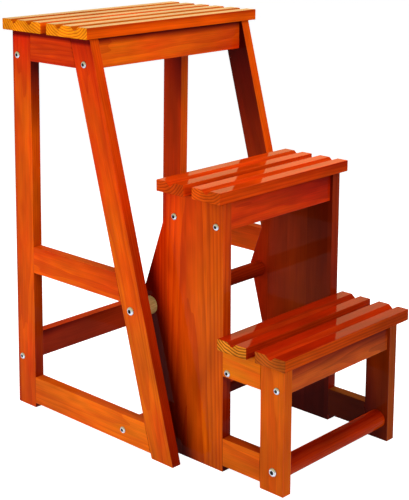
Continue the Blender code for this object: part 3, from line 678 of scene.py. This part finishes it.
def headed_tree():
    """Screws or bolts on the points of a mesh, each turned from its own profile.

    A point on the left has its shank towards +X, and a point on the right towards -X.
    """
    tree, given = new_tree("screws_and_bolts", [*SCREW, "Shank length"])
    rows = SHANK_ROWS + len(HEAD_ROWS) + SOCKET_ROWS
    columns = HEAD_SIDES + 1
    grid = add(tree, "GeometryNodeMeshGrid", {"Vertices X": rows, "Vertices Y": columns})
    index = add(tree, "GeometryNodeInputIndex")
    row = add(tree, "ShaderNodeMath", {0: index, 1: columns}, operation="DIVIDE")
    row = add(tree, "ShaderNodeMath", {0: row}, operation="FLOOR")
    column = add(tree, "ShaderNodeMath", {0: index, 1: columns}, operation="FLOORED_MODULO")
    angle = add(tree, "ShaderNodeMath", {0: column, 1: radians(360) / HEAD_SIDES},
                operation="MULTIPLY")

    head = add(tree, "ShaderNodeMath", {0: given["Head width"], 1: 0.5}, operation="MULTIPLY")
    shank = add(tree, "ShaderNodeMath", {0: given["Shank width"], 1: 0.5}, operation="MULTIPLY")
    socket = add(tree, "ShaderNodeMath", {0: given["Socket width"], 1: 0.5},
                 operation="MULTIPLY")
    tall = given["Head height"]
    bottom = add(tree, "ShaderNodeMath", {0: tall, 1: given["Socket depth"]},
                 operation="SUBTRACT")
    end = add(tree, "ShaderNodeMath", {0: given["Shank length"], 1: -1.0},
              operation="MULTIPLY")
    # A hexagon's wall stands further out at its corners
    sixth = add(tree, "ShaderNodeMath", {0: angle, 1: radians(60)}, operation="FLOORED_MODULO")
    sixth = add(tree, "ShaderNodeMath", {0: sixth, 1: radians(30)}, operation="SUBTRACT")
    sixth = add(tree, "ShaderNodeMath", {0: sixth}, operation="COSINE")
    hexagon = add(tree, "ShaderNodeMath", {0: socket, 1: sixth}, operation="DIVIDE")
    rim = add(tree, "ShaderNodeMath", {0: hexagon, 1: RIM}, operation="ADD")
    under_rim = add(tree, "ShaderNodeMath", {0: tall, 1: RIM}, operation="SUBTRACT")

    radii = [0.0, shank, shank]
    heights = [end, end, 0.0]
    for out, high in HEAD_ROWS:
        radii.append(add(tree, "ShaderNodeMath", {0: head, 1: out}, operation="MULTIPLY"))
        heights.append(add(tree, "ShaderNodeMath", {0: tall, 1: high}, operation="MULTIPLY"))
    radii += [rim, hexagon, hexagon, 0.0]
    heights += [tall, under_rim, bottom, bottom]
    chosen = []
    for values in (radii, heights):
        choice = add(tree, "GeometryNodeIndexSwitch", output=None, data_type="FLOAT")
        while len(choice.index_switch_items) < len(values):
            choice.index_switch_items.new()
        tree.links.new(row, choice.inputs[0])
        for item, value in enumerate(values, 1):
            if isinstance(value, bpy.types.NodeSocket):
                tree.links.new(value, choice.inputs[item])
            else:
                choice.inputs[item].default_value = value
        chosen.append(choice.outputs[0])
    radius, height = chosen
    sine = add(tree, "ShaderNodeMath", {0: angle}, operation="SINE")
    cosine = add(tree, "ShaderNodeMath", {0: angle}, operation="COSINE")
    y = add(tree, "ShaderNodeMath", {0: radius, 1: sine}, operation="MULTIPLY")
    z = add(tree, "ShaderNodeMath", {0: radius, 1: cosine}, operation="MULTIPLY")
    x = add(tree, "ShaderNodeMath", {0: height, 1: -1.0}, operation="MULTIPLY")
    spot = add(tree, "ShaderNodeCombineXYZ", {"X": x, "Y": y, "Z": z})
    headed = add(tree, "GeometryNodeSetPosition", {"Geometry": grid, "Position": spot})
    # The faces between the last rows are the socket's
    face = add(tree, "GeometryNodeInputIndex")
    before_socket = (rows - SOCKET_ROWS) * HEAD_SIDES
    socket_faces = add(tree, "ShaderNodeMath", {0: face, 1: before_socket - 0.5},
                       operation="GREATER_THAN")
    headed = add(tree, "GeometryNodeStoreNamedAttribute",
                 {"Geometry": headed, "Name": "in_socket", "Value": socket_faces},
                 domain="FACE", data_type="FLOAT")
    headed = add(tree, "GeometryNodeMergeByDistance", {"Geometry": headed,
                                                       "Distance": SAME_POINT})

    # Each stands with its shank inwards, and its hexagon turned as far as it was screwed in
    place = add(tree, "GeometryNodeInputPosition")
    side = add(tree, "ShaderNodeSeparateXYZ", {0: place}, output="X")
    right = add(tree, "ShaderNodeMath", {0: side, 1: 0.0}, operation="GREATER_THAN")
    about = add(tree, "ShaderNodeMath", {0: right, 1: radians(180)}, operation="MULTIPLY")
    spin = add(tree, "FunctionNodeRandomValue", {"Max": radians(60), "Seed": 7},
               output="Value", data_type="FLOAT")
    way = add(tree, "ShaderNodeCombineXYZ", {"X": spin, "Z": about})
    points = add(tree, "GeometryNodeMeshToPoints", {"Mesh": given["Geometry"]})
    stood = add(tree, "GeometryNodeInstanceOnPoints", {"Points": points, "Instance": headed,
                                                       "Rotation": way})
    finish_tree(tree, stood, given, SOCKET_SHADE)
    return tree


def fasteners():
    """Screw and bolt heads, one piece for each body and kind."""
    tree = headed_tree()
    for body in ("stool", "steps"):
        for kind, sizes in (("screw", SCREW), ("bolt", BOLT)):
            names = [name for name, owner in OWNER.items()
                     if owner == body and name.startswith(f"{kind}_")]
            points = []
            lengths = []
            for name in names:
                low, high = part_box(name)
                outer = low.x if low.x < 0 else high.x
                inner = high.x if low.x < 0 else low.x
                sign = 1 if outer > 0 else -1
                under = outer - sign * sizes["Head height"]
                points.append((under, (low.y + high.y) / 2, (low.z + high.z) / 2))
                lengths.append(abs(under - inner))
            seed = bpy.data.meshes.new("start")
            seed.from_pydata(points, [], [])
            values = {**sizes, "Shank length": min(lengths), "Material": ZINC}
            piece = grow(f"{body}_{kind}s", seed, tree, values)
            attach(piece, body)
            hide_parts(*names)


ROD_SIDES = 64
ROD_END_EASING = 1 * MM


def rod(name, body, stain):
    """A turned dowel along X in place of a CAD node, with its ends eased."""
    low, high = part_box(name)
    centre = (low + high) / 2
    radius = (high.z - low.z) / 2
    lying = Matrix.Translation(centre) @ Matrix.Rotation(radians(90), 4, "Y")
    drawn = bmesh.new()
    bmesh.ops.create_cone(drawn, cap_ends=True, segments=ROD_SIDES, radius1=radius,
                          radius2=radius, depth=high.x - low.x, matrix=lying)
    mesh = bpy.data.meshes.new(name)
    drawn.to_mesh(mesh)
    drawn.free()
    mesh.shade_smooth()
    mesh.materials.append(stained_pine(name, centre, ALONG, UP, "cross", stain))
    turned = new_object(f"turned_{name}", mesh)
    ease_ends(turned, ROD_END_EASING)
    piece = settled(turned)
    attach(piece, body)
    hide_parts(name)


# The other wooden pieces keep the shape of their CAD solids, with their edges eased: the edges
# that are long enough and turn enough. Facets up to a certain width belong to a hole or a peg.
EASING = 0.9 * MM
SHORTEST_EASED = 12 * MM
LEAST_TURN = radians(30)
WIDEST_FACET = 4.5 * MM
LENGTHWISE = 0.8
# Loose triangles of the CAD model are joined where their points meet, and where they are flat
MEETING = 0.001 * MM
FLAT = radians(0.5)
# Edges that turn less than this look round
ROUND_EDGE = radians(36)
# Their grain, wide face, kind, stain, and the colour of the face that looks into the chair, as
# painted light and shade
PLAIN = {
    "seat_apron_front": (ALONG, -DEEP, "cross", "orange", "#A83004"),
    "seat_apron_rear": (ALONG, DEEP, "cross", "orange", "#A83004"),
    "rear_rail": (ALONG, DEEP, "cross", "red", "#BA3C18"),
    "stop_bar": (ALONG, UP, "cross", "deep", "#7C1402"),
    "mid_apron_front": (ALONG, -DEEP, "cross", "red", "#8E2404"),
    "mid_apron_rear": (ALONG, DEEP, "cross", "red", "#8E2404"),
    "low_apron_front": (ALONG, -DEEP, "cross", "rust", "#8E2404"),
    "low_apron_rear": (ALONG, DEEP, "cross", "brown", "#8E2404"),
}
for tag, outside in (("left", -ALONG), ("right", ALONG)):
    PLAIN.update({
        f"rear_leg_{tag}": (REAR_LEG, outside, "leg", "orange", "#C83402"),
        f"front_leg_{tag}": (FRONT_LEG, outside, "leg", "orange", "#801A02"),
        f"top_rail_{tag}": (DEEP, outside, "leg", "red", "#A02802"),
        f"mid_rail_{tag}": (DEEP, outside, "leg", "orange", "#EE5404"),
        f"bottom_rail_{tag}": (DEEP, outside, "leg", "pale", "#A83404"),
        f"panel_{tag}": (UP, outside, "panel", "brown", "#B83E12"),
        f"low_leg_{tag}": (UP, outside, "leg", "pale", "#983004"),
        f"low_top_rail_{tag}": (DEEP, outside, "leg", "bright", "#983004"),
        f"low_bottom_rail_{tag}": (DEEP, outside, "leg", "pale", "#70280C"),
    })


def is_hole_wall(edge):
    """Whether an edge runs between two narrow facets of a drilled hole or a peg."""
    return all(face.calc_area() < edge.calc_length() * WIDEST_FACET for face in edge.link_faces)


def eased_piece(name, grain, material, ends_too):
    """A piece of the CAD model with its long edges rounded off by sandpaper.

    The ends of a rail stay sharp, because they butt against a leg. The holes stay as drilled.
    """
    drawn = bmesh.new()
    drawn.from_mesh(frame["nodes"][name].data)
    bmesh.ops.remove_doubles(drawn, verts=drawn.verts, dist=MEETING)
    bmesh.ops.dissolve_limit(drawn, angle_limit=FLAT, verts=drawn.verts, edges=drawn.edges)
    edges = []
    for edge in drawn.edges:
        along = (edge.verts[1].co - edge.verts[0].co).normalized()
        lengthwise = abs(along.dot(grain)) > LENGTHWISE
        if (edge.calc_length() > SHORTEST_EASED and edge.calc_face_angle() > LEAST_TURN
                and (ends_too or lengthwise) and not is_hole_wall(edge)):
            edges.append(edge)
    bmesh.ops.bevel(drawn, geom=edges, offset=EASING, segments=2, profile=0.5,
                    affect="EDGES", clamp_overlap=False)
    for edge in drawn.edges:
        edge.smooth = edge.calc_face_angle() < ROUND_EDGE
    mesh = bpy.data.meshes.new(name)
    drawn.to_mesh(mesh)
    drawn.free()
    mesh.shade_smooth()
    mesh.materials.clear()
    mesh.materials.append(material)
    return settled(new_object(f"eased_{name}", mesh))


def eased_pieces():
    """Every wooden piece that isn't a board or a dowel, with its own wood, and what is bare."""
    for name, (grain, face, kind, stain, inner) in PLAIN.items():
        low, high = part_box(name)
        material = stained_pine(name, (low + high) / 2, grain, face, kind, stain, inner)
        piece = eased_piece(name, grain, material, "leg" in name or "panel" in name)
        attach(piece, OWNER[name])
        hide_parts(name)
    for tag in ("left", "right"):
        frame["nodes"][f"pivot_sleeve_{tag}"].material_slots[0].material = ZINC
        frame["nodes"][f"pivot_insert_{tag}"].material_slots[0].material = BRASS
        frame["nodes"][f"pivot_spacer_{tag}"].material_slots[0].material = BEECH


# The studio is white to the camera, and a warm cream in reflections. Its walls throw little
# light on the wood: the soft boxes do that.
STUDIO_WHITE = "#FFFFFF"
STUDIO_REFLECTED = "#FFEDA8"
STUDIO_LIGHT = 0.08
# The floor glows by itself, a little under white, and the lamps bring it to white where the
# chair doesn't shade it. The light that it throws back on the wood is a dull grey's.
FLOOR_GLOW = 0.95
FLOOR_LIT = "#D8D8D8"
FLOOR_DULL = "#A0A0A0"
FLOOR_REACH = 12
FLOOR_DROP = 0.1 * MM
# Soft boxes: where each hangs, what it is aimed at, its width and height, and its watts
LAMPS = {
    "beside_left_frame": ((-0.68, 0.12, 0.4), (0, 0.12, 0.35), 0.7, 0.8, 3.9),
    "above_the_steps": ((0.1, -0.4, 1.05), (0, 0.08, 0.55), 0.4, 0.4, 2.2),
    "front_high": ((-0.6, -1.9, 1.2), (0, 0, 0.3), 0.5, 0.5, 14),
    "over_the_seat": ((0, 0.1, 1.25), (0, 0.1, 0), 0.5, 0.5, 1.2),
    "rear_right": ((0.9, 0.9, 1.4), (0, 0, 0.35), 0.6, 0.6, 6),
    "beside_right_frame": ((1.0, 0.1, 0.45), (0, 0.1, 0.35), 0.7, 0.8, 4.2),
    "behind": ((-0.3, 1.4, 0.6), (0, 0.2, 0.35), 0.6, 0.6, 3.5),
}


def seen_rays(tree):
    """1 where the camera, a reflection or a view through something sees it, 0 where light does."""
    rays = add(tree, "ShaderNodeLightPath", output=None).outputs
    seen = add(tree, "ShaderNodeMath", {0: rays["Is Camera Ray"], 1: rays["Is Glossy Ray"]},
               operation="MAXIMUM")
    return add(tree, "ShaderNodeMath", {0: seen, 1: rays["Is Transmission Ray"]},
               operation="MAXIMUM")


def floor():
    """A plain white floor that keeps a faint shadow of the chair."""
    mesh = bpy.data.meshes.new("floor")
    corners = ((-1, -1), (1, -1), (1, 1), (-1, 1))
    mesh.from_pydata([(x * FLOOR_REACH, y * FLOOR_REACH, 0) for x, y in corners], [],
                     [(0, 1, 2, 3)])
    stage = new_object("floor", mesh)
    stage.location.z = -FLOOR_DROP
    material, tree = new_material("white_floor")
    lit = add(tree, "ShaderNodeBsdfDiffuse", {"Color": linear(FLOOR_LIT)})
    glow = add(tree, "ShaderNodeEmission", {"Color": linear(STUDIO_WHITE),
                                            "Strength": FLOOR_GLOW})
    both = add(tree, "ShaderNodeAddShader", {0: lit, 1: glow})
    dull = add(tree, "ShaderNodeBsdfDiffuse", {"Color": linear(FLOOR_DULL)})
    surface = add(tree, "ShaderNodeMixShader", {0: seen_rays(tree), 1: dull, 2: both})
    add(tree, "ShaderNodeOutputMaterial", {"Surface": surface})
    mesh.materials.append(material)


def world():
    """White for the camera, cream in reflections, and little light on the wood."""
    studio = bpy.data.worlds.new("studio")
    studio.use_nodes = True
    tree = studio.node_tree
    tree.nodes.clear()
    strength = add(tree, "ShaderNodeMix", {"Factor": seen_rays(tree), "A": STUDIO_LIGHT,
                                           "B": 1.0})
    reflected = add(tree, "ShaderNodeLightPath", output="Is Glossy Ray")
    colour = add(tree, "ShaderNodeMix", {"Factor": reflected, "A": linear(STUDIO_WHITE),
                 "B": linear(STUDIO_REFLECTED)}, output="Result", data_type="RGBA")
    light = add(tree, "ShaderNodeBackground", {"Color": colour, "Strength": strength})
    add(tree, "ShaderNodeOutputWorld", {"Surface": light})
    bpy.context.scene.world = studio


def softbox(name, place, aim, width, height, watts):
    """A rectangular lamp that neither the camera nor a reflection sees."""
    light = bpy.data.lights.new(name, "AREA")
    light.shape = "RECTANGLE"
    light.size = width
    light.size_y = height
    light.energy = watts
    lamp = new_object(name, light)
    lamp.location = place
    lamp.rotation_euler = (Vector(aim) - Vector(place)).to_track_quat("-Z", "Y").to_euler()
    lamp.visible_glossy = False
    lamp.visible_camera = False


def camera():
    lens = bpy.data.cameras.new("camera")
    lens.sensor_fit = "VERTICAL"
    lens.sensor_height = SENSOR
    lens.lens = LENS
    lens.shift_y = SHIFT_UP
    eye = new_object("camera", lens)
    eye.location = EYE
    eye.rotation_euler = (Vector(LOOKS_AT) - Vector(EYE)).to_track_quat("-Z", "Y").to_euler()
    bpy.context.scene.camera = eye


boards()
fasteners()
rod("pivot_dowel", "stool", "dark")
rod("low_dowel", "steps", "red")
eased_pieces()
floor()
world()
for lamp_name, lamp_values in LAMPS.items():
    softbox(lamp_name, *lamp_values)
camera()
bpy.context.scene.view_settings.view_transform = "Standard"
